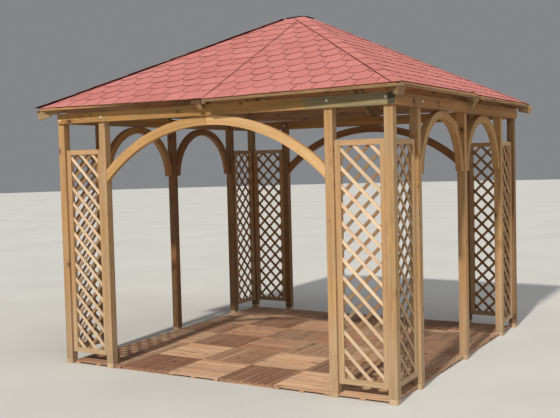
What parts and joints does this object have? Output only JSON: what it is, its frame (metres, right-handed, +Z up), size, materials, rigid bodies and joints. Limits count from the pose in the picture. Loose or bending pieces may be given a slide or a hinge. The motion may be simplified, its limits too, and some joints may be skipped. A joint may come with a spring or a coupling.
{
  "type": "garden gazebo",
  "caption": "Square timber gazebo with a shingled pyramid roof, arched openings on all sides, lattice panels beside the corners and a decked floor.",
  "frame": {"origin": "on the ground under the roof's apex, at the bottom centre of the bounding box", "axes": "+Z up, -Y out through the wide front archway, +X out through the right side with two narrow arches"},
  "size_m": [3.5318, 3.554, 3.157],
  "materials": {
    "post_wood": "planed softwood, weathered",
    "foot_wood": "pale softwood",
    "lattice_wood": "planed softwood",
    "arch_wood": "planed softwood",
    "beam_wood": "planed softwood, weathered",
    "board_wood": "sawn boards",
    "roof_covering": "mineral granules on felt",
    "deck_wood": "ribbed boards",
    "bolt_steel": "zinc plated"
  },
  "bodies": {
    "root": {"post_corner_front_right": "post_wood", "post_corner_back_right": "post_wood", "post_corner_back_left": "post_wood", "post_corner_front_left": "post_wood", "post_front_beside_left": "post_wood", "post_front_beside_right": "post_wood", "post_right_beside_front": "post_wood", "post_right_beside_back": "post_wood", "post_back_beside_right": "post_wood", "post_back_beside_left": "post_wood", "post_left_beside_back": "post_wood", "post_left_beside_front": "post_wood", "post_right_middle": "post_wood", "post_left_middle": "post_wood", "post_feet": "foot_wood", "trellis_front_left": "lattice_wood", "trellis_front_right": "lattice_wood", "trellis_right_front": "lattice_wood", "trellis_right_back": "lattice_wood", "trellis_back_right": "lattice_wood", "trellis_back_left": "lattice_wood", "trellis_left_back": "lattice_wood", "trellis_left_front": "lattice_wood", "arch_front": "arch_wood", "arch_back": "arch_wood", "arch_right_back": "arch_wood", "arch_right_front": "arch_wood", "arch_left_front": "arch_wood", "arch_left_back": "arch_wood", "beam_front": "beam_wood", "beam_right": "beam_wood", "beam_back": "beam_wood", "beam_left": "beam_wood", "hip_rafters": "beam_wood", "middle_rafters": "beam_wood", "roof_battens": "board_wood", "apex_block": "beam_wood", "roof_front": "board_wood", "roof_right": "board_wood", "roof_back": "board_wood", "roof_left": "board_wood", "apex_cap": "roof_covering", "floor_deck": "deck_wood"}
  },
  "joints": []
}
